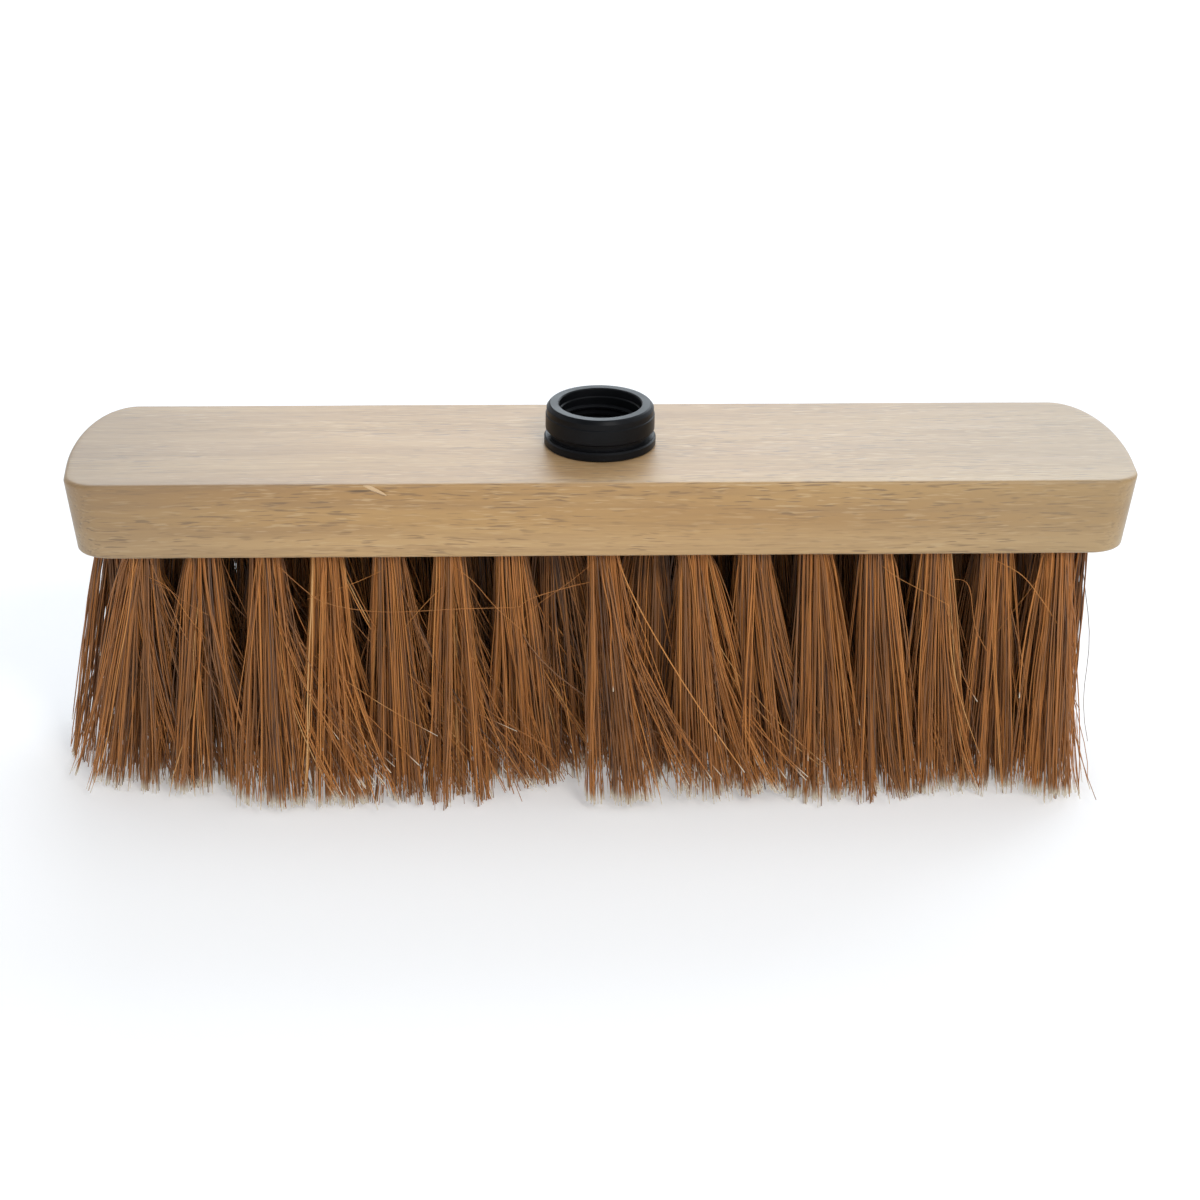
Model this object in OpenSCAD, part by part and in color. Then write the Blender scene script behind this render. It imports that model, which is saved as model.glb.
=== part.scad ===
// Head of a push broom: a wooden block drilled from below for tufts of coir fibre,
// each held by a wire staple, with a threaded plastic socket for the handle on top.
// The bristle tips stand on z = 0. +X runs along the head, -Y is its front, +Z is up.

/* [Block] */
// Length of the block along X
block_length = 290; // [290:1:320]
// Depth of the block from front to back, along Y
block_depth = 61; // [60:0.5:70]
// Thickness of the block
block_thickness = 22; // [21:0.5:28]
// Radius of the two front corners in plan
front_corner = 8; // [4:0.5:12]
// How far each end is rounded away along X, towards the back corners
end_round_x = 17; // [12:1:22]
// How far forward that rounding of the end begins, along Y
end_round_y = 45; // [36:1:50]
// How far each end leans inwards at the underside
end_lean = 3; // [0:0.5:3]
// How far the front and back faces lean inwards at the underside
side_lean = 1.5; // [0:0.5:2]
// Radius of the eased edge around the top face
top_ease = 1; // [0.5:0.1:1.5]
// Radius of the eased edge around the underside
under_ease = 1.4; // [0.5:0.1:1.5]

/* [Tufts] */
// Length of the fibres below the block
fibre_length = 72; // [50:1:90]
// Diameter of a drilled tuft hole
hole_diameter = 9; // [8.6:0.1:9.2]
// Depth of a drilled tuft hole
hole_depth = 11; // [10:0.5:12]
// Distance between neighbouring tufts in a row, away from the handle socket
tuft_pitch = 16.6; // [15.5:0.1:16.7]
// Distance between neighbouring rows
row_pitch = 11; // [10.5:0.1:11.5]
// Radius of a tuft where it leaves its hole
tuft_neck_radius = 3.9; // [3.3:0.1:3.9]
// Radius of a tuft at its tips
tuft_tip_radius = 4.8; // [4:0.1:4.9]

/* [Staples] */
// Diameter of the staple wire
wire_diameter = 0.9; // [0.7:0.1:1.2]
// Distance between the two legs of a staple, centre to centre
staple_width = 4.2; // [3:0.1:5]
// Length of the straight part of a staple leg
staple_leg = 5; // [3:0.5:6]

/* [Handle socket] */
// Height of the socket above the block
socket_height = 11.7; // [11:0.1:14]
// Outer diameter of the flange that rests on the block
flange_diameter = 30.6; // [29:0.1:34]
// Outer diameter of the collar
collar_diameter = 29.9; // [29:0.1:31]
// Diameter of the plain lead-in at the mouth
mouth_diameter = 22.6; // [22:0.1:23]
// Length of the plain lead-in
lead_in_length = 2; // [1.5:0.1:2.5]
// Pitch of the handle thread
thread_pitch = 1.8; // [1.6:0.1:3]
// Depth of the socket's stem in the block
stem_depth = 14; // [12:0.5:15]

/* [Hidden] */
$fn = 48;

// Heights of the block's two faces
underside = fibre_length;
block_top = underside + block_thickness;

// The eased edge of the underside reaches further in at the ends
end_under_ease = 1.5 * under_ease;

// The rows from front to back
front_row = 0;
second_row = 1;
middle_row = 2;
fourth_row = 3;
back_row = 4;
hole_radius = hole_diameter / 2;

// Each row has this many evenly spaced tufts at either end, the innermost 1.5 pitches from the
// centre, or 2 pitches in the middle row, which stands in the gaps of the others
end_tufts = 7;
end_tufts_start = [1.5, 1.5, 2, 1.5, 1.5];

// The socket's stem and its pilot hole, and the wood kept between that hole and the tufts
stem_radius = 12.4;
pilot_radius = 12.5;
pilot_depth = stem_depth + 1;
web = 0.6;

// A tuft's root fills its hole from just above the rounded neck of the free part
root_radius = hole_radius - 0.1;
root_gap = 0.5;
root_start = tuft_neck_radius + root_gap;

// The staple's crown holds the folded fibres this far below the end of the hole
crown_inset = 1.8;

// The handle thread
thread_step = 0.3;
thread_wall_radius = mouth_diameter / 2 - thread_step;
thread_height = 0.8;
thread_segments = 24;

function row_y(row) = (row - middle_row) * row_pitch;

function reversed(points) = [for (i = [len(points) - 1 : -1 : 0]) points[i]];

// Between its ends a row has one tuft at the centre in front, two half a pitch from it at the back,
// and in the other rows two that stand as close as the socket's pilot hole allows
function inner_x(row) =
    row == front_row ? 0
    : row == back_row ? tuft_pitch / 2
    : sqrt(pow(pilot_radius + hole_radius + web, 2) - pow(row_y(row), 2));

// Tuft places of one row from left to right
function tuft_xs(row) =
    let (
        right_end = [for (k = [0 : end_tufts - 1]) (end_tufts_start[row] + k) * tuft_pitch],
        right = concat([inner_x(row)], right_end)
    )
    concat([for (x = reversed(right)) if (x > 0) -x], right);

// One half of the block's outline from the front corner to the back, drawn in by dx and dy
function half_outline(dx, dy) =
    let (
        half_x = block_length / 2 - dx,
        half_y = block_depth / 2 - dy,
        front = [for (a = [0 : 15 : 90]) [
            half_x - front_corner * (1 - sin(a)),
            -half_y + front_corner * (1 - cos(a))
        ]],
        back = [for (a = [0 : 6 : 90]) [
            half_x - end_round_x * (1 - cos(a)),
            half_y - end_round_y * (1 - sin(a))
        ]]
    )
    concat(front, back);

function outline(dx, dy) =
    let (half = half_outline(dx, dy))
    concat(half, [for (p = reversed(half)) [-p.x, p.y]]);

// The block's levels from the top down: depth below the top, then how far the outline is drawn in
// along X and along Y
block_levels = concat(
    [for (a = [90 : -30 : 0]) [
        top_ease * (1 - sin(a)),
        top_ease * (1 - cos(a)),
        top_ease * (1 - cos(a))
    ]],
    [for (a = [0 : 30 : 90]) [
        block_thickness - under_ease * (1 - sin(a)),
        end_lean + end_under_ease * (1 - cos(a)),
        side_lean + under_ease * (1 - cos(a))
    ]]
);

module block_solid() {
    rings = [for (level = block_levels)
        [for (p = outline(level[1], level[2])) [p.x, p.y, block_top - level[0]]]];
    count = len(rings[0]);
    last = len(rings) - 1;
    points = [for (ring = rings) each ring];
    sides = [for (k = [0 : last - 1]) for (i = [0 : count - 1])
        let (j = (i + 1) % count)
        each [
            [k * count + i, k * count + j, (k + 1) * count + j],
            [k * count + i, (k + 1) * count + j, (k + 1) * count + i]
        ]];
    top_face = reversed([for (i = [0 : count - 1]) i]);
    under_face = [for (i = [0 : count - 1]) last * count + i];
    polyhedron(points, concat(sides, [top_face, under_face]));
}

module block() {
    color("burlywood")
    difference() {
        block_solid();
        translate([0, 0, block_top - pilot_depth])
            cylinder(h = pilot_depth + 1, r = pilot_radius);
        for (row = [front_row : back_row])
            for (x = tuft_xs(row))
                translate([x, row_y(row), underside - 1])
                    cylinder(h = hole_depth + 1, r = hole_radius);
    }
}

// The socket's radii and its heights above the block
flange_radius = flange_diameter / 2;
flange_height = 2.6;
neck_radius = 13.6;
collar_radius = collar_diameter / 2;
collar_start = 4.4;
step_height = socket_height - 2.9;
step_depth = 0.25;
rim_radius = 14.1;
rim_drop = 1.1;
mouth_radius = mouth_diameter / 2;
mouth_bevel = 0.3;
edge_bevel = 0.4;
lead_in_end = socket_height - mouth_bevel - lead_in_length;

// Rings around the stem that bite into the wood
barb_radius = pilot_radius + 0.2;
barb_pitch = 4;
barb_count = 3;
barb_slope = 1;
barb_flank = 0.2;

// Half of the socket's section as [radius, height above the block]
flange_outline = [
    [stem_radius, 0],
    [flange_radius - edge_bevel, 0],
    [flange_radius, edge_bevel],
    [flange_radius, flange_height - edge_bevel],
    [flange_radius - edge_bevel, flange_height],
    [neck_radius, flange_height]
];
collar_outline = [
    [neck_radius, collar_start],
    [collar_radius - edge_bevel, collar_start],
    [collar_radius, collar_start + edge_bevel],
    [collar_radius, step_height],
    [collar_radius - step_depth, step_height + step_depth],
    [collar_radius - step_depth, socket_height - rim_drop],
    [rim_radius, socket_height - mouth_bevel],
    [rim_radius - edge_bevel, socket_height]
];
bore_outline = [
    [mouth_radius + mouth_bevel, socket_height],
    [mouth_radius, socket_height - mouth_bevel],
    [mouth_radius, lead_in_end],
    [thread_wall_radius, lead_in_end - thread_step],
    [thread_wall_radius, -stem_depth]
];
stem_outline = concat(
    [[stem_radius - edge_bevel, -stem_depth], [stem_radius, -stem_depth + edge_bevel]],
    [for (k = [barb_count : -1 : 1]) each [
        [stem_radius, -k * barb_pitch],
        [barb_radius, -k * barb_pitch + barb_slope],
        [stem_radius, -k * barb_pitch + barb_slope + barb_flank]
    ]]
);

// The thread ridge's section as [radius, height], its foot sunk in the wall
ridge_foot = 0.75;
ridge_crest = 0.2;
ridge_sunk = 0.3;
ridge_section = [
    [thread_wall_radius + ridge_sunk, ridge_foot],
    [thread_wall_radius - thread_height, ridge_crest],
    [thread_wall_radius - thread_height, -ridge_crest],
    [thread_wall_radius + ridge_sunk, -ridge_foot]
];

// The ridge runs from near the stem's end to just below the lead-in
ridge_clear = 1.2;
ridge_start = 2 - stem_depth;
ridge_turns = floor((lead_in_end - ridge_clear - ridge_start) / thread_pitch);

// One turn per pitch up the bore, as a closed spiral strip
module thread_ridge() {
    steps = ridge_turns * thread_segments;
    count = len(ridge_section);
    points = [for (i = [0 : steps]) for (p = ridge_section)
        let (a = i * 360 / thread_segments)
        [p.x * cos(a), p.x * sin(a), ridge_start + p.y + i * thread_pitch / thread_segments]];
    sides = [for (i = [0 : steps - 1]) for (k = [0 : count - 1])
        let (m = (k + 1) % count)
        each [
            [i * count + k, (i + 1) * count + m, (i + 1) * count + k],
            [i * count + k, i * count + m, (i + 1) * count + m]
        ]];
    start_cap = reversed([for (k = [0 : count - 1]) k]);
    end_cap = [for (k = [0 : count - 1]) steps * count + k];
    polyhedron(points, concat(sides, [start_cap, end_cap]));
}

module handle_socket() {
    color([0.07, 0.075, 0.08])
    translate([0, 0, block_top]) {
        rotate_extrude($fn = 96)
            polygon(concat(flange_outline, collar_outline, bore_outline, stem_outline));
        thread_ridge();
    }
}

// The free part of each tuft, which bends about the mouth of its hole
module row_tufts(row) {
    color("peru")
    for (x = tuft_xs(row))
        translate([x, row_y(row), underside]) {
            sphere(r = tuft_neck_radius);
            translate([0, 0, -fibre_length])
                cylinder(h = fibre_length, r1 = tuft_tip_radius, r2 = tuft_neck_radius);
        }
}

// The folded part of each tuft, packed into its hole
module row_roots(row) {
    color("saddlebrown")
    for (x = tuft_xs(row))
        translate([x, row_y(row), underside + root_start])
            cylinder(h = hole_depth - root_start, r = root_radius);
}

// A wire bent into a U, its crown over the fold and its legs in the wood above the hole
module staple() {
    bend = staple_width / 2;
    rotate([90, 0, 0])
        rotate_extrude(angle = -180)
            translate([bend, 0]) circle(d = wire_diameter, $fn = 24);
    for (side = [-bend, bend])
        translate([side, 0, 0])
            cylinder(h = staple_leg, d = wire_diameter, $fn = 24);
}

module row_staples(row) {
    color("silver")
    for (x = tuft_xs(row))
        translate([x, row_y(row), underside + hole_depth - crown_inset + staple_width / 2])
            staple();
}

block();
handle_socket();
row_tufts(front_row);  // front_row_tufts
row_tufts(second_row);  // second_row_tufts
row_tufts(middle_row);  // middle_row_tufts
row_tufts(fourth_row);  // fourth_row_tufts
row_tufts(back_row);  // back_row_tufts
row_roots(front_row);  // front_row_roots
row_roots(second_row);  // second_row_roots
row_roots(middle_row);  // middle_row_roots
row_roots(fourth_row);  // fourth_row_roots
row_roots(back_row);  // back_row_roots
row_staples(front_row);  // front_row_staples
row_staples(second_row);  // second_row_staples
row_staples(middle_row);  // middle_row_staples
row_staples(fourth_row);  // fourth_row_staples
row_staples(back_row);  // back_row_staples
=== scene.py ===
"""Looks of the push broom head: the wooden block, the plastic handle socket and every coir fibre.

All sizes are in metres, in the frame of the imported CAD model: +X runs along the head, -Y is its front and
z = 0 lies under the bristle tips. Places come from the CAD nodes. The values below only add what the CAD
model leaves plain.
"""

import math

import bpy
import numpy as np
from mathutils import Matrix, Vector


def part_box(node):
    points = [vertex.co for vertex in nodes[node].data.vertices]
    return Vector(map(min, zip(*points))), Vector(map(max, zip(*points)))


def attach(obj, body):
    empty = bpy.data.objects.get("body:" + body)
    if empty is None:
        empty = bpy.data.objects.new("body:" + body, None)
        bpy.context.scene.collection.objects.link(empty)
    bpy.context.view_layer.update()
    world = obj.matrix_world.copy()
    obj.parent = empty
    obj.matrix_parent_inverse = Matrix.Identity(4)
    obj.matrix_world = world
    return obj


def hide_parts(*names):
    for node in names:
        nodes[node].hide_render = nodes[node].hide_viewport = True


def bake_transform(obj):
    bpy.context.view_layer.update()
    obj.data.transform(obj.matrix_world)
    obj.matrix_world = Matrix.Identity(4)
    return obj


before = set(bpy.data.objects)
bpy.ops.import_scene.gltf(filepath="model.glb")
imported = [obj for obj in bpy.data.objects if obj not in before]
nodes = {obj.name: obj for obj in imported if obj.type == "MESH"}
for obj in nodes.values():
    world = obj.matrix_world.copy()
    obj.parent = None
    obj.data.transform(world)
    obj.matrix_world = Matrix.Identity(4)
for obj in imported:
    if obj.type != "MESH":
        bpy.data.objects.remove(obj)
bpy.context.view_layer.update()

MM = 0.001
SEED = 29
ROWS = ("front_row", "second_row", "middle_row", "fourth_row", "back_row")

# Block: what its outline adds to its box
FRONT_CORNER = 8 * MM
END_ROUND_X = 17 * MM
END_ROUND_Y = 45 * MM
END_LEAN = 3 * MM
SIDE_LEAN = 1.5 * MM
TOP_EASE = 1.0 * MM
UNDER_EASE = 1.4 * MM
END_UNDER_EASE = 1.5 * UNDER_EASE
EDGE_STEP = 0.8 * MM
FLAT_RIM = 1.0 * MM
STEM_RADIUS = 12.5 * MM
HOLE_SIDES = 28
SHARP_ANGLE = 35

# The sliver torn from the block's front top edge, and how fresh its wood looks, from 0 to 1
SPLINTER_X = -61.5 * MM
SPLINTER_LENGTH = 6.2 * MM
SPLINTER_DROP = 2.3 * MM
SPLINTER_STAND_OFF = 0.9 * MM
SPLINTER_HALF_WIDTH = 0.62 * MM
SPLINTER_HALF_THICKNESS = 0.26 * MM
SPLINTER_FRESH = 0.85

# Wood colours
SAPWOOD = (0.56, 0.37, 0.17)
STREAK = (0.31, 0.175, 0.066)
FLECK_RIM = (0.60, 0.42, 0.22)
FLECK = (0.22, 0.124, 0.046)
# The next two colours are painted light: painted shade at the left end, painted sheen and shade at the right
# end
LEFT_PAINTED_SHADE = (0.14, 0.11, 0.07)
RIGHT_PAINTED_SHEEN_AND_SHADE = (0.24, 0.18, 0.09)
# Painted shade in the split under the splinter
SPLIT_PAINTED_SHADE = (0.10, 0.055, 0.02)
FRESH_WOOD = (0.66, 0.45, 0.24)

# Tufts: the CAD roots stand clear of the holes' walls, and each folded fibre has two free ends
ROOT_CLEARANCE = 0.1 * MM
HOLE_GAP = 1 * MM
FOLDED_FIBRES = 112
FIBRE_SIDES = 3
FREE_STEPS = 12
HOLE_STEPS = 2
FOLD_STEPS = 3
FIBRE_RADIUS = (0.12 * MM, 0.28 * MM)
STRANDS = 18
STRAND_SCATTER = (2.4 * MM, 1.8 * MM)
TIP_SCATTER = 0.5 * MM
STRAY_SHARE = 0.09
SHORT_SHARE = 0.07
SHORTER_BY = 7 * MM
OVERLENGTH = 1.2 * MM
TIP_CLEARANCE = 0.3 * MM
WAVINESS = 0.55 * MM
STRAND_BOW = 0.9 * MM

# Loose fibres, and the route of the long one in mm: x, y, and z from the underside
LOOSE_RADIUS = (0.07 * MM, 0.12 * MM)
LOOSE_STEPS = 16
LONG_FIBRE = (
    (-88, -26, -3),
    (-82, -28.5, -8),
    (-75, -30, -12.5),
    (-60, -30.5, -15),
    (-40, -30, -14.5),
    (-22, -28, -15),
)

# How far forward of their holes the tips of each front tuft stand, from the left
FRONT_REACH = [v * MM for v in (-4, 1, 12, 10, 5, 7, -2, 12, 9, 7, 7, 7, 2, 0, 7)]

# Tips beyond the first distance from the middle are drawn in, and none passes the two together
HOLD_X = (138 * MM, 10 * MM)
HOLD_Y = (34 * MM, 7.3 * MM)

block_low, block_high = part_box("block")
UNDERSIDE = block_low.z
BLOCK_TOP = block_high.z
HALF_LENGTH = block_high.x
HALF_DEPTH = block_high.y


# ---------------------------------------------------------------- materials


class Graph:
    """A material's node tree. add() makes a node and sets or links its inputs by name or number."""

    def __init__(self, name):
        self.material = bpy.data.materials.new(name)
        self.material.use_nodes = True
        self.tree = self.material.node_tree
        self.tree.nodes.clear()
        self.shader = self.add("ShaderNodeBsdfPrincipled")
        output = self.add("ShaderNodeOutputMaterial")
        self.tree.links.new(self.shader.outputs[0], output.inputs["Surface"])

    def add(self, kind, inputs=None, **settings):
        node = self.tree.nodes.new(kind)
        for key, value in settings.items():
            setattr(node, key, value)
        self.fill(node, inputs or {})
        return node

    def fill(self, node, inputs):
        for key, value in inputs.items():
            if isinstance(value, bpy.types.NodeSocket):
                self.tree.links.new(value, node.inputs[key])
            else:
                node.inputs[key].default_value = value

    def place(self, scale, offset=(0, 0, 0)):
        """The point on the object, stretched for a texture."""
        where = self.add("ShaderNodeTexCoord").outputs["Object"]
        inputs = {"Vector": where, "Location": offset, "Scale": scale}
        return self.add("ShaderNodeMapping", inputs).outputs[0]

    def noise(self, vector, detail=3.0, roughness=0.5):
        inputs = {"Vector": vector, "Scale": 1.0, "Detail": detail, "Roughness": roughness}
        return self.add("ShaderNodeTexNoise", inputs).outputs["Fac"]

    def ramp(self, value, stops):
        """Colour by value: stops is a list of (position, colour), a colour being a grey or (r, g, b)."""
        node = self.add("ShaderNodeValToRGB", {"Fac": value})
        ramp = node.color_ramp
        while len(ramp.elements) < len(stops):
            ramp.elements.new(0.5)
        for element, (position, colour) in zip(ramp.elements, stops):
            element.position = position
            rgb = colour if isinstance(colour, tuple) else (colour,) * 3
            element.color = (*rgb, 1.0)
        return node.outputs["Color"]

    def mix(self, factor, a, b):
        node = self.add("ShaderNodeMix", data_type="RGBA")
        colours = [s for s in node.inputs if s.type == "RGBA"]
        for socket, value in ((node.inputs["Factor"], factor), (colours[0], a), (colours[1], b)):
            if isinstance(value, bpy.types.NodeSocket):
                self.tree.links.new(value, socket)
            else:
                socket.default_value = (*value, 1.0) if isinstance(value, tuple) else value
        return next(s for s in node.outputs if s.type == "RGBA")

    def maths(self, operation, a, b):
        return self.add("ShaderNodeMath", {0: a, 1: b}, operation=operation).outputs[0]

    def bump(self, height, strength, distance):
        inputs = {"Height": height, "Strength": strength, "Distance": distance}
        return self.add("ShaderNodeBump", inputs).outputs[0]

    def attribute(self, name):
        return self.add("ShaderNodeAttribute", attribute_name=name).outputs["Fac"]


def wood_material():
    """Sanded, unvarnished rubberwood: faint bands and streaks along X, and short flecks with a light rim.

    Both ends are coloured by painted light: painted shade darkens the left end, and painted sheen and shade
    grey and darken the right end. The underside and the lower part of the sides are pale sapwood.
    """
    g = Graph("block_wood")
    wander = g.noise(g.place((11, 40, 40)), detail=2)
    sway = g.maths("MULTIPLY", wander, 6 * MM)
    swayed = g.add("ShaderNodeCombineXYZ", {"Y": sway, "Z": sway}).outputs[0]
    grain = g.add("ShaderNodeVectorMath", {0: g.place((1, 1, 1)), 1: swayed}, operation="ADD").outputs[0]

    def along_grain(scale, offset=(0, 0, 0)):
        inputs = {"Vector": grain, "Location": offset, "Scale": scale}
        return g.add("ShaderNodeMapping", inputs).outputs[0]

    def fleck_mask(offset, strength):
        flecks = g.noise(along_grain((150, 1800, 1800), offset), detail=1)
        return g.maths("MULTIPLY", g.ramp(flecks, [(0.58, 0.0), (0.68, strength)]), fleck_strength)

    figure = g.noise(along_grain((5, 70, 70)), detail=3)
    streaks = g.noise(along_grain((12, 420, 420), (3, 1, 2)), detail=3, roughness=0.6)
    zones = g.noise(g.place((16, 70, 70), (5, 7, 1)), detail=2)
    fleck_strength = g.ramp(zones, [(0.36, 0.35), (0.60, 1.0)])
    base = g.ramp(figure, [
        (0.32, (0.365, 0.197, 0.059)),
        (0.5, (0.405, 0.225, 0.070)),
        (0.68, (0.455, 0.266, 0.089)),
    ])
    thickness = BLOCK_TOP - UNDERSIDE
    to_share = g.place((1 / HALF_LENGTH, 1, 1 / thickness), (0, 0, -UNDERSIDE / thickness))
    share = g.add("ShaderNodeSeparateXYZ", {0: to_share})
    sapwood = g.ramp(share.outputs["Z"], [(0.18, 0.55), (0.48, 0.0)])
    pale_below = g.mix(sapwood, base, SAPWOOD)
    streaked = g.mix(g.ramp(streaks, [(0.45, 0.0), (0.66, 0.50)]), pale_below, STREAK)
    dark = fleck_mask((1, 8, 4), 0.9)
    light = fleck_mask((1, 8.7, 3.3), 0.5)
    lit = g.mix(light, streaked, FLECK_RIM)
    flecked = g.mix(dark, lit, FLECK)
    # Painted shade: the left end is darkened where less light falls on it
    to_left = g.maths("MULTIPLY", share.outputs["X"], -1.0)
    with_left_painted_shade = g.mix(g.ramp(to_left, [(0.45, 0.0), (0.97, 0.42)]), flecked, LEFT_PAINTED_SHADE)
    # Painted sheen and shade: the right end is greyed as a sheen would wash it, and darkened
    right_painted_light_mask = g.ramp(share.outputs["X"], [(0.2, 0.0), (0.97, 0.42)])
    with_painted_end_light = g.mix(right_painted_light_mask, with_left_painted_shade, RIGHT_PAINTED_SHEEN_AND_SHADE)
    # Painted shade: a dark mark where the splinter's split would lie in shade
    with_painted_split_shade = g.mix(painted_split_shade(g), with_painted_end_light, SPLIT_PAINTED_SHADE)
    colour = g.mix(g.attribute("fresh"), with_painted_split_shade, FRESH_WOOD)
    height = g.maths("SUBTRACT", g.maths("MULTIPLY", streaks, 0.3), g.maths("MULTIPLY", dark, 0.6))
    g.fill(g.shader, {
        "Base Color": colour,
        "Roughness": g.ramp(streaks, [(0.3, 0.46), (0.7, 0.52)]),
        "Specular IOR Level": 0.8,
        "Sheen Weight": 0.22,
        "Sheen Roughness": 0.45,
        "Sheen Tint": (0.84, 0.93, 1.0, 1.0),
        "Normal": g.bump(height, 0.35, 0.08 * MM),
        "IOR": 1.5,
    })
    return g.material


def painted_split_shade(g):
    """Painted shade of the shallow split that the splinter left under the front's top edge, which the mesh
    doesn't cut: strongest there, 0 elsewhere.
    """
    middle = (SPLINTER_X - 4.2 * MM, -HALF_DEPTH, BLOCK_TOP - 1.75 * MM)
    scale = [1 / radius for radius in (4.5 * MM, 3 * MM, 0.5 * MM)]
    from_middle = g.place(scale, [-c * s for c, s in zip(middle, scale)])
    distance = g.add("ShaderNodeVectorMath", {0: from_middle}, operation="LENGTH").outputs["Value"]
    return g.ramp(distance, [(0.4, 0.85), (1.0, 0.0)])


def plastic_material():
    """Black moulded plastic, semi-matt, with a fine uneven skin."""
    g = Graph("socket_plastic")
    skin = g.noise(g.place((900, 900, 900)), detail=3)
    smears = g.noise(g.place((60, 60, 160)), detail=2)
    g.fill(g.shader, {
        "Base Color": g.ramp(smears, [(0.3, (0.0035, 0.004, 0.0048)), (0.7, (0.008, 0.0085, 0.010))]),
        "Roughness": g.ramp(smears, [(0.3, 0.30), (0.7, 0.42)]),
        "Normal": g.bump(skin, 0.25, 0.03 * MM),
        "Specular IOR Level": 0.13,
        "IOR": 1.5,
    })
    return g.material


def coir_material():
    """Coconut fibre: each fibre has its own brown, slightly blotched, and some cut tips are pale. Its shade
    attribute also holds painted shade on the fibres from each tuft's core and on the roots of the inner
    rows.
    """
    g = Graph("coir_fibre")
    blotches = g.noise(g.place((260, 260, 90)), detail=3)
    blotched = g.maths("MULTIPLY", g.maths("SUBTRACT", blotches, 0.5), 0.4)
    tone = g.maths("ADD", g.attribute("shade"), blotched)
    colour = g.ramp(tone, [
        (0.0, (0.15, 0.088, 0.058)),
        (0.3, (0.32, 0.142, 0.053)),
        (0.6, (0.51, 0.197, 0.048)),
        (0.85, (0.61, 0.262, 0.070)),
        (1.0, (0.72, 0.42, 0.17)),
    ])
    tip = g.ramp(g.attribute("along"), [(0.955, 0.0), (0.985, 1.0)])
    pale = g.maths("MULTIPLY", tip, g.attribute("cut"))
    g.fill(g.shader, {
        "Base Color": g.mix(pale, colour, (0.86, 0.76, 0.60)),
        "Roughness": 0.55,
        "Specular IOR Level": 0.45,
        "IOR": 1.45,
    })
    return g.material


def steel_material():
    """Drawn steel wire, with fine lines along it and a few dull spots."""
    g = Graph("staple_wire")
    lines = g.noise(g.place((900, 900, 120)), detail=3)
    g.fill(g.shader, {
        "Base Color": g.ramp(lines, [(0.3, (0.42, 0.42, 0.41)), (0.7, (0.56, 0.56, 0.55))]),
        "Roughness": g.ramp(lines, [(0.3, 0.28), (0.7, 0.45)]),
        "Metallic": 1.0,
    })
    return g.material


def floor_material():
    """A plain pale surface with a little light of its own, so that it stays white around the shadow."""
    g = Graph("pale_floor")
    g.fill(g.shader, {
        "Base Color": (0.70, 0.70, 0.70, 1.0),
        "Roughness": 0.9,
        "Specular IOR Level": 0.1,
        "Emission Color": (1.0, 1.0, 1.0, 1.0),
        "Emission Strength": 0.33,
    })
    return g.material


def wear(obj, material):
    obj.data.materials.clear()
    obj.data.materials.append(material)


# ---------------------------------------------------------------- meshes


def new_object(name, points, faces, smooth=True):
    mesh = bpy.data.meshes.new(name)
    mesh.from_pydata([tuple(p) for p in points], [], faces)
    mesh.update()
    if smooth:
        mesh.polygons.foreach_set("use_smooth", [True] * len(mesh.polygons))
    obj = bpy.data.objects.new(name, mesh)
    bpy.context.scene.collection.objects.link(obj)
    return obj


def sharpen(mesh, degrees):
    """Marks the edges where faces meet at more than this angle, so that only gentle ones look smooth."""
    normals = {}
    for face in mesh.polygons:
        for key in face.edge_keys:
            normals.setdefault(key, []).append(face.normal)
    limit = math.cos(math.radians(degrees))
    pairs = [normals.get(tuple(sorted(edge.vertices)), []) for edge in mesh.edges]
    sharp = [len(pair) == 2 and pair[0].dot(pair[1]) < limit for pair in pairs]
    attribute = mesh.attributes.get("sharp_edge") or mesh.attributes.new("sharp_edge", "BOOLEAN", "EDGE")
    attribute.data.foreach_set("value", sharp)


def apply_modifiers(obj):
    depsgraph = bpy.context.evaluated_depsgraph_get()
    mesh = bpy.data.meshes.new_from_object(obj.evaluated_get(depsgraph), depsgraph=depsgraph)
    obj.modifiers.clear()
    obj.data = mesh


def grid_faces(rings, count):
    """Quads between closed rings of count points each."""
    faces = []
    for k in range(rings - 1):
        low, high = k * count, (k + 1) * count
        for i in range(count):
            j = (i + 1) % count
            faces.append((low + i, high + i, high + j, low + j))
    return faces


# ---------------------------------------------------------------- block


def between(a, b):
    """Points between the ends of a long side, about EDGE_STEP apart, as many at every level."""
    steps = round(2 * HALF_LENGTH / EDGE_STEP)
    return [a.lerp(b, i / steps) for i in range(1, steps)]


def block_outline(dx, dy):
    """The block's outline in plan, drawn in by dx and dy: arcs at the front, long ellipses at the ends."""
    half_x, half_y = HALF_LENGTH - dx, HALF_DEPTH - dy
    quarter = [math.radians(a) for a in range(0, 91, 9)]
    long_quarter = [math.radians(a) for a in range(0, 91, 4)] + [math.radians(90)]
    front = [
        Vector((half_x - FRONT_CORNER * (1 - math.sin(a)), -half_y + FRONT_CORNER * (1 - math.cos(a))))
        for a in quarter
    ]
    end = [
        Vector((half_x - END_ROUND_X * (1 - math.cos(a)), half_y - END_ROUND_Y * (1 - math.sin(a))))
        for a in long_quarter
    ]
    right = front + end
    left = [Vector((-p.x, p.y)) for p in reversed(right)]
    return right + between(right[-1], left[0]) + left + between(left[-1], right[0])


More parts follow.
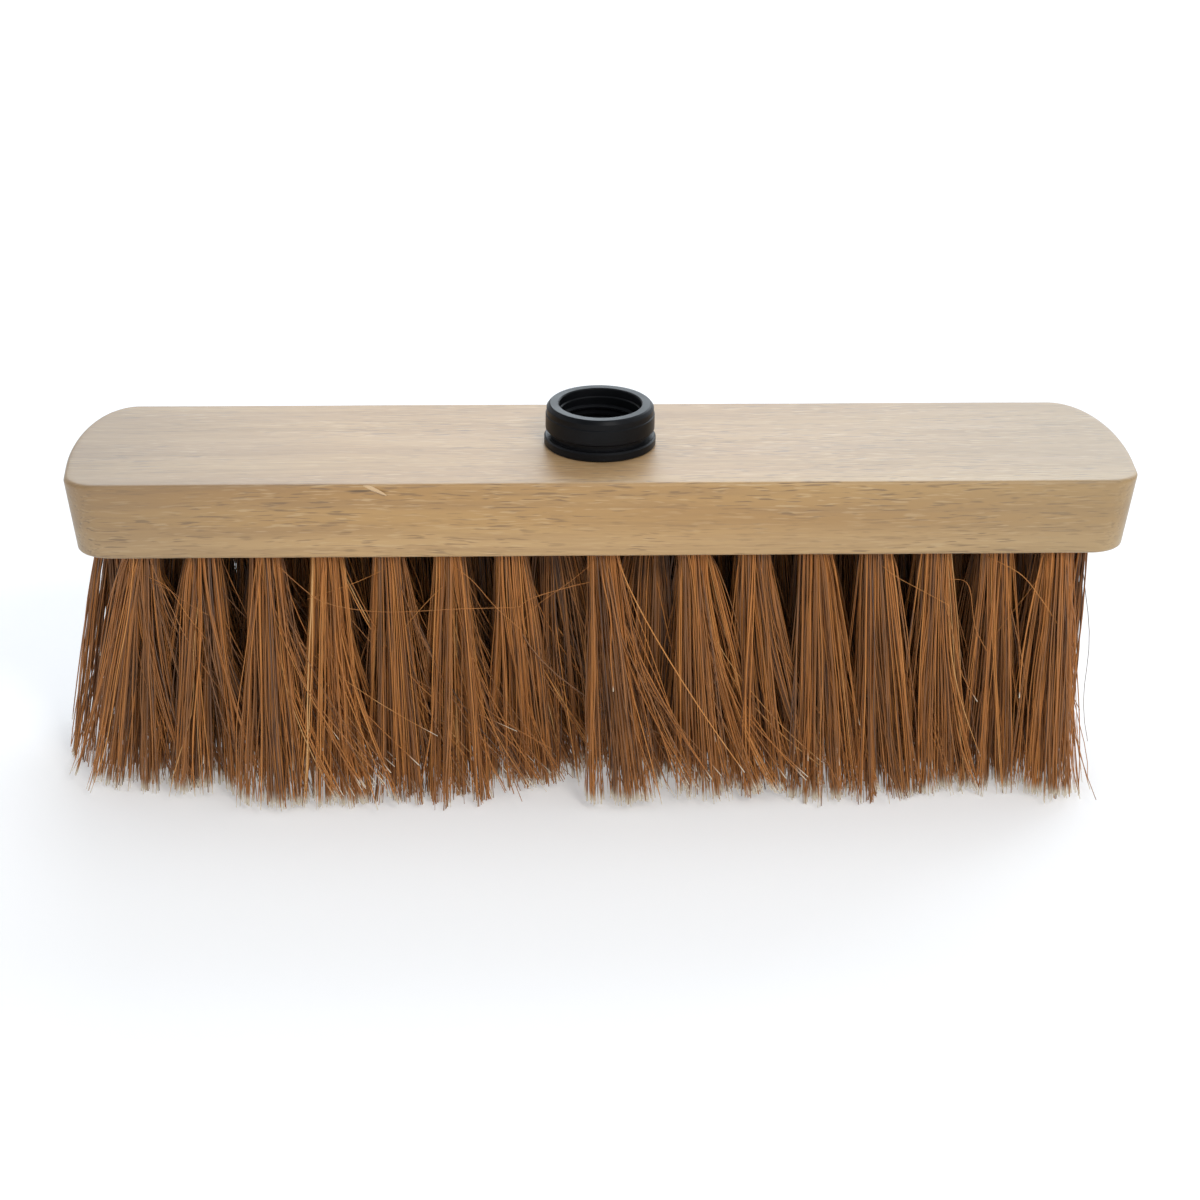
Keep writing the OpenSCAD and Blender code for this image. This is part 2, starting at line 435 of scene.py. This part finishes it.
def block_levels():
    """(height, drawn in along X, drawn in along Y) from the top face down to the underside."""
    steps = [math.radians(a) for a in range(0, 91, 15)]
    top = [(0.0, TOP_EASE + FLAT_RIM, TOP_EASE + FLAT_RIM)]
    top += [(TOP_EASE * (1 - math.sin(a)), *[TOP_EASE * (1 - math.cos(a))] * 2) for a in reversed(steps)]
    thick = BLOCK_TOP - UNDERSIDE
    under = [
        (
            thick - UNDER_EASE * (1 - math.sin(a)),
            END_LEAN + END_UNDER_EASE * (1 - math.cos(a)),
            SIDE_LEAN + UNDER_EASE * (1 - math.cos(a)),
        )
        for a in steps
    ]
    start, end = top[-1], under[0]
    face = [tuple(s + (e - s) * t for s, e in zip(start, end)) for t in (0.04, 0.35, 0.65, 0.96)]
    last = (thick, under[-1][1] + FLAT_RIM, under[-1][2] + FLAT_RIM)
    return [(BLOCK_TOP - depth, dx, dy) for depth, dx, dy in top + face + under + [last]]


def worn_edges(points, rng):
    """Hand-sanded long edges: their rounding varies a little along the block."""
    reach, side_depth, wave_length, most_worn = 2.5 * MM, 4 * MM, 9 * MM, 0.22 * MM
    pitches = (0.35, 0.8, 1.7)
    phases = rng.random(3) * math.tau
    for p in points:
        edge = max(0.0, 1 - min(BLOCK_TOP - p[2], p[2] - UNDERSIDE) / reach)
        waves = [math.sin(p[0] * k / wave_length + phase) for k, phase in zip(pitches, phases)]
        if abs(p[1]) > HALF_DEPTH - side_depth:
            p[1] -= math.copysign(edge * (0.5 + 0.5 * sum(waves) / 3) * most_worn, p[1])


def build_splinter(material):
    """The sliver hangs down to the right and stands off the front face at its free end."""
    steps, sides = 12, 6
    points = []
    for k in range(steps + 1):
        t = k / steps
        half_width = SPLINTER_HALF_WIDTH * min(1.0, 0.25 + 3.2 * t) * (1 - 0.8 * t**3)
        half_thickness = SPLINTER_HALF_THICKNESS * (1 - 0.4 * t)
        x = SPLINTER_X + (t - 0.5) * SPLINTER_LENGTH
        y = -HALF_DEPTH + (0.35 - 0.25 * t) * MM - SPLINTER_STAND_OFF * t**1.6
        z = BLOCK_TOP - 0.35 * MM - SPLINTER_DROP * t**1.2
        for i in range(sides):
            a = math.tau * i / sides
            up, out = half_width * math.cos(a), half_thickness * math.sin(a)
            points.append((x + 0.35 * up, y - out, z + 0.94 * up))
    faces = grid_faces(steps + 1, sides)
    faces += [tuple(range(sides)), tuple(steps * sides + i for i in reversed(range(sides)))]
    splinter = new_object("edge_splinter", points, faces)
    fresh = splinter.data.attributes.new("fresh", "FLOAT", "POINT")
    fresh.data.foreach_set("value", [SPLINTER_FRESH] * len(points))
    wear(splinter, material)
    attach(splinter, "head")


def row_of_holes(row):
    """Y of a row's holes, and their radius, read off the CAD roots."""
    low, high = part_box(row + "_roots")
    return (low.y + high.y) / 2, (high.y - low.y) / 2 + ROOT_CLEARANCE


def hole_cutter():
    """One cylinder per tuft hole and one for the socket's stem, as a single cutting mesh."""
    past_faces, under_stem = 2 * MM, 1 * MM
    bores = []
    for row in ROWS:
        y, radius = row_of_holes(row)
        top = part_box(row + "_roots")[1].z
        bores += [(x, y, radius, UNDERSIDE - past_faces, top) for x in tuft_places(row)]
    stem_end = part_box("handle_socket")[0].z
    bores.append((0.0, 0.0, STEM_RADIUS, stem_end - under_stem, BLOCK_TOP + past_faces))
    around = [math.tau * i / HOLE_SIDES for i in range(HOLE_SIDES)]
    points, faces = [], []
    for x, y, radius, low, high in bores:
        first = len(points)
        second = first + HOLE_SIDES
        for z in (low, high):
            points += [(x + radius * math.cos(a), y + radius * math.sin(a), z) for a in around]
        for i in range(HOLE_SIDES):
            j = (i + 1) % HOLE_SIDES
            faces.append((first + i, first + j, second + j, second + i))
        faces.append(tuple(first + i for i in reversed(range(HOLE_SIDES))))
        faces.append(tuple(second + i for i in range(HOLE_SIDES)))
    return new_object("hole_cutter", points, faces, smooth=False)


def build_block():
    rng = np.random.default_rng(SEED)
    rings = [[[p.x, p.y, z] for p in block_outline(dx, dy)] for z, dx, dy in block_levels()]
    count = len(rings[0])
    points = [p for ring in rings for p in ring]
    worn_edges(points, rng)
    faces = grid_faces(len(rings), count)
    last = (len(rings) - 1) * count
    faces += [tuple(range(count)), tuple(last + i for i in reversed(range(count)))]
    block = new_object("wooden_block", points, faces)
    cutter = hole_cutter()
    cut = block.modifiers.new("holes", "BOOLEAN")
    cut.operation = "DIFFERENCE"
    cut.solver = "MANIFOLD"
    cut.object = cutter
    apply_modifiers(block)
    bpy.data.objects.remove(cutter)
    block.data.polygons.foreach_set("use_smooth", [True] * len(block.data.polygons))
    sharpen(block.data, SHARP_ANGLE)
    wood = wood_material()
    wear(block, wood)
    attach(block, "head")
    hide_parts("block")
    build_splinter(wood)


# ---------------------------------------------------------------- tufts


def tuft_places(row):
    """X of each hole in a row, read off the CAD roots: holes lie more than HOLE_GAP apart, vertices less."""
    xs = np.sort([v.co.x for v in nodes[row + "_roots"].data.vertices])
    groups = np.split(xs, np.flatnonzero(np.diff(xs) > HOLE_GAP) + 1)
    return [float(g[0] + g[-1]) / 2 for g in groups]


def half_disc(rng, count, radius, side):
    """Even random points over the front (side -1) or back (side 1) half of a hole's mouth, sorted by x."""
    r = radius * np.sqrt(rng.random(count))
    a = rng.random(count) * math.pi
    found = np.stack([r * np.cos(a), side * r * np.sin(a)], 1)
    return found[np.argsort(found[:, 0])]


def tuft_habit(rng, row, number, x, y):
    """How one tuft grows: where its tips stand from its hole, how wide it fans, its length and its colours.

    Use has bent the bristles towards +X. The left end fans wide and the right end hangs straight. All rows
    but the front one close up in the middle, where the pilot hole leaves no room for tufts.
    """
    u = x / HALF_LENGTH
    front = row == "front_row"
    near_middle = 0.0 if front else math.exp(-((x / (22 * MM)) ** 2))
    left, right = max(0.0, -u) ** 4, max(0.0, u) ** 4
    to_left = {"front_row": 13, "middle_row": 13}.get(row, 16)
    drift = 4.2 * (1 - u * u) * (1 - near_middle) - to_left * left - 3.5 * right
    drift -= 6 * near_middle * math.tanh(x / (8 * MM))
    reach = -FRONT_REACH[number - 1] if front else 0.26 * y
    widened = (2.0 if front else 1.0) * left - 1.4 * right + 1.2 * near_middle
    fan = rng.uniform(2.1, 2.9) + widened
    return {
        "lean": np.array([drift * MM, reach]) + rng.normal(0, [1.2 * MM, 0.5 * MM]),
        "fan": np.array([fan, 1.6 + near_middle]),
        "power": (0.72, 1.3) if front else (0.70 - 0.25 * near_middle, 1.05 - 0.35 * near_middle),
        "swept": 0.18 + 0.14 * max(0.0, -u),
        "folded": round(FOLDED_FIBRES * (1 + 0.5 * near_middle)),
        "sweep": (16 - 14 * u) * MM,
        "lift": rng.uniform(0, 2.6 * MM),
        "pale": 0.9 if rng.random() < 0.5 else 0.25,
        "tone": rng.normal(0, 0.05),
        # Painted shade: the roots of the inner rows are darkened, where the rows around them shade them
        "root_painted_shade": 0.0 if row in ("front_row", "back_row") else 0.18,
    }


def held(distance, start, slack):
    """Draws distances beyond start in smoothly, so that none passes start + slack."""
    over = np.maximum(np.abs(distance) - start, 0)
    return np.where(over > 0, np.sign(distance) * (start + slack * np.tanh(over / slack)), distance)


def tip_places(rng, mouth, habit, place):
    """Where the tips of the fibres from the mouth (count, 2) stand in plan, from their hole: (count, 2).

    Neighbouring fibres cling together in strands. Also returns the strand of each fibre, which strands are
    swept along the head, and which fibres stray from their strand.
    """
    count = len(mouth)
    seeds = mouth[rng.choice(count, STRANDS, replace=False)]
    strand = np.argmin(((mouth[:, None] - seeds[None]) ** 2).sum(2), 1)
    shift = rng.normal(0, STRAND_SCATTER, (STRANDS, 2))
    swept = rng.random(STRANDS) < habit["swept"]
    shift[:, 0] += swept * rng.uniform(0.25, 0.9, STRANDS) * habit["sweep"]
    cling = rng.uniform(0.2, 1.9, (STRANDS, 1))[strand]
    tips = seeds[strand] * habit["fan"] + (mouth - seeds[strand]) * cling + shift[strand] + habit["lean"]
    tips += rng.normal(0, TIP_SCATTER, (count, 2)) * rng.lognormal(0, 0.6, (STRANDS, 1))[strand]
    stray = rng.random(count) < STRAY_SHARE
    away = np.where(rng.random(count) < 0.8, 1, -0.22) * rng.uniform(0.3, 1.6, count) * habit["sweep"]
    tips[:, 0] += stray * away
    tips[:, 1] += stray * np.sign(habit["lean"][1]) * rng.uniform(-1, 4, count) * MM
    for axis, hold in enumerate((HOLD_X, HOLD_Y)):
        tips[:, axis] = held(tips[:, axis] + place[axis], *hold) - place[axis]
    return tips, strand, swept, stray


def fibre_lengths(rng, habit, strand, stray):
    """How long each free fibre is: nearly even within its strand, with a few broken off short."""
    length = UNDERSIDE + OVERLENGTH - habit["lift"] - rng.uniform(0, 0.8 * MM, STRANDS)[strand]
    length -= np.abs(rng.normal(0, 0.35 * MM, len(strand)))
    short = (rng.random(len(strand)) < SHORT_SHARE) & ~stray
    length[short] -= rng.exponential(SHORTER_BY, short.sum())
    return length


def free_ends(rng, mouth, habit, place):
    """Free fibres from the mouth (count, 2) to their tips: points (count, FREE_STEPS + 1, 3), strands."""
    count = len(mouth)
    tips, strand, swept, stray = tip_places(rng, mouth, habit, place)
    length = fibre_lengths(rng, habit, strand, stray)
    aside = np.linalg.norm(tips - mouth, axis=1)
    tip_z = np.clip(UNDERSIDE - np.sqrt(length**2 - aside**2), TIP_CLEARANCE, UNDERSIDE * 0.7)

    u = np.linspace(0, 1, FREE_STEPS + 1)[None, :, None]
    power = (rng.uniform(*habit["power"], STRANDS) + 0.9 * swept)[strand] + 0.6 * stray
    power += rng.normal(0, 0.08, count)
    plan = mouth[:, None] + (tips - mouth)[:, None] * u ** power[:, None, None]
    wave = rng.normal(0, WAVINESS, (count, 1, 2)) * (1 + 1.2 * stray[:, None, None])
    turns = rng.uniform(0.5, 1.8, (count, 1, 1))
    phase = rng.random((count, 1, 1)) * math.tau
    plan = plan + wave * (np.sin(math.tau * turns * u + phase) - np.sin(phase)) * u * (1.6 - u)
    bow = rng.normal(0, STRAND_BOW, (STRANDS, 2))[strand]
    plan = plan + bow[:, None] * np.sin(math.pi * u) * u
    z = UNDERSIDE + (tip_z[:, None, None] - UNDERSIDE) * u
    return np.concatenate([plan, np.broadcast_to(z, (count, FREE_STEPS + 1, 1))], 2), strand


def fold_ends(mouth, fold_x, fold_height, side, crown_z):
    """Paths inside the hole from the top of the fold down to just above the mouth."""
    arc = np.linspace(math.pi / 2, 0, FOLD_STEPS + 1)[None]
    h = fold_height[:, None]
    x = np.broadcast_to(fold_x[:, None], (len(mouth), FOLD_STEPS + 1))
    over = np.stack([x, side * h * np.cos(arc), crown_z + h * np.sin(arc)], 2)
    start = over[:, -1:]
    goal = np.concatenate([mouth, np.full((len(mouth), 1), UNDERSIDE)], 1)[:, None]
    t = np.linspace(0, 1, HOLE_STEPS + 2)[None, 1:-1, None]
    return np.concatenate([over, start + (goal - start) * t], 1)


def tuft_fibres(rng, habit, hole_radius, crown_z, place):
    """Folded fibres of one tuft: points (count, steps, 3), their shares of the free length, and shades."""
    count = habit["folded"]
    radius = hole_radius - FIBRE_RADIUS[1]
    mouths = [half_disc(rng, count, radius, side) for side in (-1, 1)]
    narrowed = 0.36  # the folds lie closer along X than the mouths, under the staple's crown
    fold_x = (mouths[0][:, 0] + mouths[1][:, 0]) / 2 * narrowed
    fold_height = rng.uniform(0.7, 1.5, count) * MM
    own = rng.normal(0.50 + habit["tone"], 0.15, count)
    inner = FOLD_STEPS + 1 + HOLE_STEPS
    down = np.concatenate([np.zeros(inner), np.linspace(0, 1, FREE_STEPS + 1)])
    halves, shades = [], []
    for side, mouth in zip((-1, 1), mouths):
        inside = fold_ends(mouth, fold_x, fold_height, side, crown_z)
        free, strand = free_ends(rng, mouth, habit, place)
        halves.append(np.concatenate([inside, free], 1))
        # Painted shade: fibres from the middle of the mouth are darker, as the tuft shades them, and so are
        # the inner rows' roots
        painted_core_shade = 1 - np.linalg.norm(mouth, axis=1) / radius
        shade = own + rng.normal(0, 0.12, STRANDS)[strand] - 0.15 * painted_core_shade
        shades.append(shade[:, None] - habit["root_painted_shade"] * (1 - down[None]))
    points = np.concatenate([halves[0][:, ::-1], halves[1][:, 1:]], 1)
    shade = np.concatenate([shades[0][:, ::-1], shades[1][:, 1:]], 1)
    return points + [*place, 0], np.concatenate([down[::-1], down[1:]]), shade


def tube_points(points, along, rng, radius):
    """FIBRE_SIDES points around each point of the paths, closer to it towards the tips."""
    tangent = np.gradient(points, axis=1)
    tangent /= np.linalg.norm(tangent, axis=2, keepdims=True)
    across = np.array([1.0, 0.0, 0.0]) - tangent[..., :1] * tangent
    across /= np.linalg.norm(across, axis=2, keepdims=True)
    other = np.cross(tangent, across)
    taper = 1.05 - 0.35 * along[None] ** 2
    thick = rng.triangular(radius[0], radius[0], radius[1], len(points))[:, None] * taper
    angles = math.tau * np.arange(FIBRE_SIDES) / FIBRE_SIDES
    turn = rng.random(len(points))[:, None] * math.tau + angles[None]
    cos, sin = np.cos(turn)[:, None, :, None], np.sin(turn)[:, None, :, None]
    ring = across[:, :, None] * cos + other[:, :, None] * sin
    return (points[:, :, None] + ring * thick[:, :, None, None]).reshape(-1, 3)


def tube_faces(count, steps):
    """Quads along count tubes of steps rings each, and their two caps."""
    first = np.arange(count)[:, None, None] * steps * FIBRE_SIDES
    level = np.arange(steps - 1)[None, :, None] * FIBRE_SIDES
    k = np.arange(FIBRE_SIDES)[None, None]
    m = (k + 1) % FIBRE_SIDES
    low = first + level
    high = low + FIBRE_SIDES
    quads = np.stack([low + k, low + m, high + m, high + k], -1).reshape(-1, 4)
    start = (first[:, 0] + np.arange(FIBRE_SIDES)[None])[:, ::-1]
    end = first[:, 0] + (steps - 1) * FIBRE_SIDES + np.arange(FIBRE_SIDES)[None]
    return quads, np.concatenate([start, end])


def tube_mesh(name, points, along, shade, pale, rng, radius=FIBRE_RADIUS):
    """Closed thin tubes along the paths. pale is the share of them that have pale tips."""
    count, steps, _ = points.shape
    coords = tube_points(points, along, rng, radius)
    quads, caps = tube_faces(count, steps)
    mesh = bpy.data.meshes.new(name)
    mesh.vertices.add(len(coords))
    mesh.vertices.foreach_set("co", coords.astype(np.float32).ravel())
    corners = np.concatenate([quads.ravel(), caps.ravel()])
    mesh.loops.add(len(corners))
    mesh.loops.foreach_set("vertex_index", corners.astype(np.int32))
    sizes = np.concatenate([np.full(len(quads), 4), np.full(len(caps), FIBRE_SIDES)])
    starts = np.concatenate([[0], np.cumsum(sizes)[:-1]])
    mesh.polygons.add(len(sizes))
    mesh.polygons.foreach_set("loop_start", starts.astype(np.int32))
    mesh.polygons.foreach_set("use_smooth", np.ones(len(sizes), bool))
    mesh.update()
    mesh.validate()

    cut = (rng.random((count, 1)) < pale).astype(float)
    per_point = {
        "along": np.broadcast_to(along[None], (count, steps)),
        "shade": np.clip(shade, 0, 1),
        "cut": np.broadcast_to(cut, (count, steps)),
    }
    for key, values in per_point.items():
        attribute = mesh.attributes.new(key, "FLOAT", "POINT")
        repeated = np.repeat(values.reshape(-1), FIBRE_SIDES)
        attribute.data.foreach_set("value", repeated.astype(np.float32))
    obj = bpy.data.objects.new(name, mesh)
    bpy.context.scene.collection.objects.link(obj)
    return obj


def bristle_piece(obj, material):
    """Gives the fibres their material and bakes their place into the mesh."""
    wear(obj, material)
    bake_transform(obj)


def build_tufts(rng, material):
    over_staple = 0.45 * MM
    for row in ROWS:
        y, hole_radius = row_of_holes(row)
        crown_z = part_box(row + "_staples")[0].z + over_staple
        for number, x in enumerate(tuft_places(row), 1):
            habit = tuft_habit(rng, row, number, x, y)
            points, along, shade = tuft_fibres(rng, habit, hole_radius, crown_z, (x, y))
            obj = tube_mesh(f"{row}_tuft_{number:02d}", points, along, shade, habit["pale"], rng)
            bristle_piece(obj, material)
            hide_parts(row + "_tufts", row + "_roots")


def through(route, steps):
    """Points along a smooth curve through the route's own points."""
    route = np.array(route, float)
    ends = np.concatenate([[2 * route[0] - route[1]], route, [2 * route[-1] - route[-2]]])
    found = []
    for t in np.linspace(0, len(route) - 1, steps + 1):
        k = min(int(t), len(route) - 2)
        a, b, c, d = ends[k : k + 4]
        s = t - k
        found.append(b + 0.5 * s * (c - a + s * (2 * a - 5 * b + 4 * c - d + s * (3 * (b - c) + d - a))))
    return np.array(found)


def loose_hairs(rng, xs, y, side):
    """Thin curly fibres that have worked loose between neighbouring tufts, across their outer side."""
    routes = []
    for x, following in zip(xs, xs[1:]):
        for _ in range(rng.integers(0, 3)):
            start, end = (x, following) if rng.random() < 0.5 else (following, x)
            top = UNDERSIDE - rng.uniform(1, 9) * MM
            fall = rng.uniform(6, 24) * MM
            arch = rng.normal(0, 4 * MM)
            out = side * (abs(y) + rng.uniform(4.6, 5.6) * MM)
            span = end - start
            routes.append([
                (start + rng.normal(0, 1.5 * MM), side * (abs(y) + 3 * MM), top),
                (start + span * 0.35 + arch * 0.3, out, top - fall * 0.25 + arch * 0.5),
                (start + span * 0.75 - arch * 0.2, out, top - fall * 0.65),
                (end + rng.normal(0, 2.5 * MM), out + side * 1.5 * MM, top - fall),
            ])
    return routes


def build_loose_fibres(rng, material):
    """One long fibre lies across the left front tufts; short hairs cross the gaps in front and behind."""
    long_route = [(x * MM, y * MM, UNDERSIDE + z * MM) for x, y, z in LONG_FIBRE]
    for row, side, extra in (("front_row", -1, [long_route]), ("back_row", 1, [])):
        y, _ = row_of_holes(row)
        routes = extra + loose_hairs(rng, tuft_places(row), y, side)
        points = np.stack([through(route, LOOSE_STEPS) for route in routes])
        along = np.zeros(LOOSE_STEPS + 1)
        shade = np.repeat(rng.normal(0.62, 0.12, (len(routes), 1)), LOOSE_STEPS + 1, 1)
        obj = tube_mesh(row + "_loose_fibres", points, along, shade, 0.0, rng, LOOSE_RADIUS)
        bristle_piece(obj, material)


# ---------------------------------------------------------------- stage


def area_light(name, place, target, size, power, colour):
    light = bpy.data.lights.new(name, "AREA")
    light.shape = "RECTANGLE"
    light.size, light.size_y = size
    light.energy = power
    light.color = colour
    obj = bpy.data.objects.new(name, light)
    obj.location = place
    obj.rotation_euler = (Vector(target) - Vector(place)).to_track_quat("-Z", "Y").to_euler()
    bpy.context.scene.collection.objects.link(obj)


def build_floor():
    """A round studio floor that curves up into a pale wall on all sides, far outside the lights."""
    sides, flat, curve, height = 96, 5.0, 3.0, 7.0
    bend = [math.radians(a) for a in range(0, 91, 10)]
    profile = [(flat + curve * math.sin(a), curve * (1 - math.cos(a))) for a in bend]
    profile.append((flat + curve, height))
    around = [math.tau * i / sides for i in range(sides)]
    points = [(r * math.cos(a), r * math.sin(a), z) for r, z in profile for a in around]
    floor = new_object("floor", points, [tuple(range(sides))] + grid_faces(len(profile), sides))
    wear(floor, floor_material())


def build_stage():
    build_floor()
    world = bpy.data.worlds.new("studio")
    world.use_nodes = True
    background = world.node_tree.nodes["Background"]
    background.inputs["Color"].default_value = (0.80, 0.88, 1.0, 1.0)
    background.inputs["Strength"].default_value = 0.40
    bpy.context.scene.world = world
    middle = (0, 0, 0.06)
    area_light("key", (0.5, -1.35, 1.33), middle, (0.5, 0.4), 12.5, (1.0, 0.97, 0.92))
    area_light("overhead", (0.25, 0.4, 1.8), middle, (1.6, 1.2), 8, (0.90, 0.95, 1.0))
    area_light("sheen", (0.75, 2.1, 1.25), middle, (2.6, 1.5), 45, (0.82, 0.92, 1.0))


def build_camera():
    """A long lens at the photograph's viewing angle: from the front and above, turned and rolled a bit."""
    elevation, azimuth, roll = (math.radians(a) for a in (23.39, -2.675, 0.686))
    distance = 1.2
    target = Vector((0.57 * MM, 0, BLOCK_TOP - 47.1 * MM))
    turn = Matrix.Rotation(azimuth, 3, "Z")
    forward = turn @ Vector((0, math.cos(elevation), -math.sin(elevation)))
    up = turn @ Vector((0, math.sin(elevation), math.cos(elevation)))
    right = turn @ Vector((1, 0, 0))
    rolled_right = right * math.cos(roll) + up * math.sin(roll)
    rolled_up = up * math.cos(roll) - right * math.sin(roll)
    camera = bpy.data.objects.new("camera", bpy.data.cameras.new("camera"))
    camera.data.sensor_width = 36
    camera.data.lens = 129.1
    camera.data.clip_end = 50
    axes = Matrix((rolled_right, rolled_up, -forward)).transposed()
    camera.matrix_world = Matrix.Translation(target - forward * distance) @ axes.to_4x4()
    bpy.context.scene.collection.objects.link(camera)
    bpy.context.scene.camera = camera
    bpy.context.scene.view_settings.view_transform = "Standard"


build_camera()
build_stage()
build_block()
fibre_rng = np.random.default_rng(SEED)
coir = coir_material()
build_tufts(fibre_rng, coir)
build_loose_fibres(fibre_rng, coir)
wear(nodes["handle_socket"], plastic_material())
steel = steel_material()
for row in ROWS:
    wear(nodes[row + "_staples"], steel)
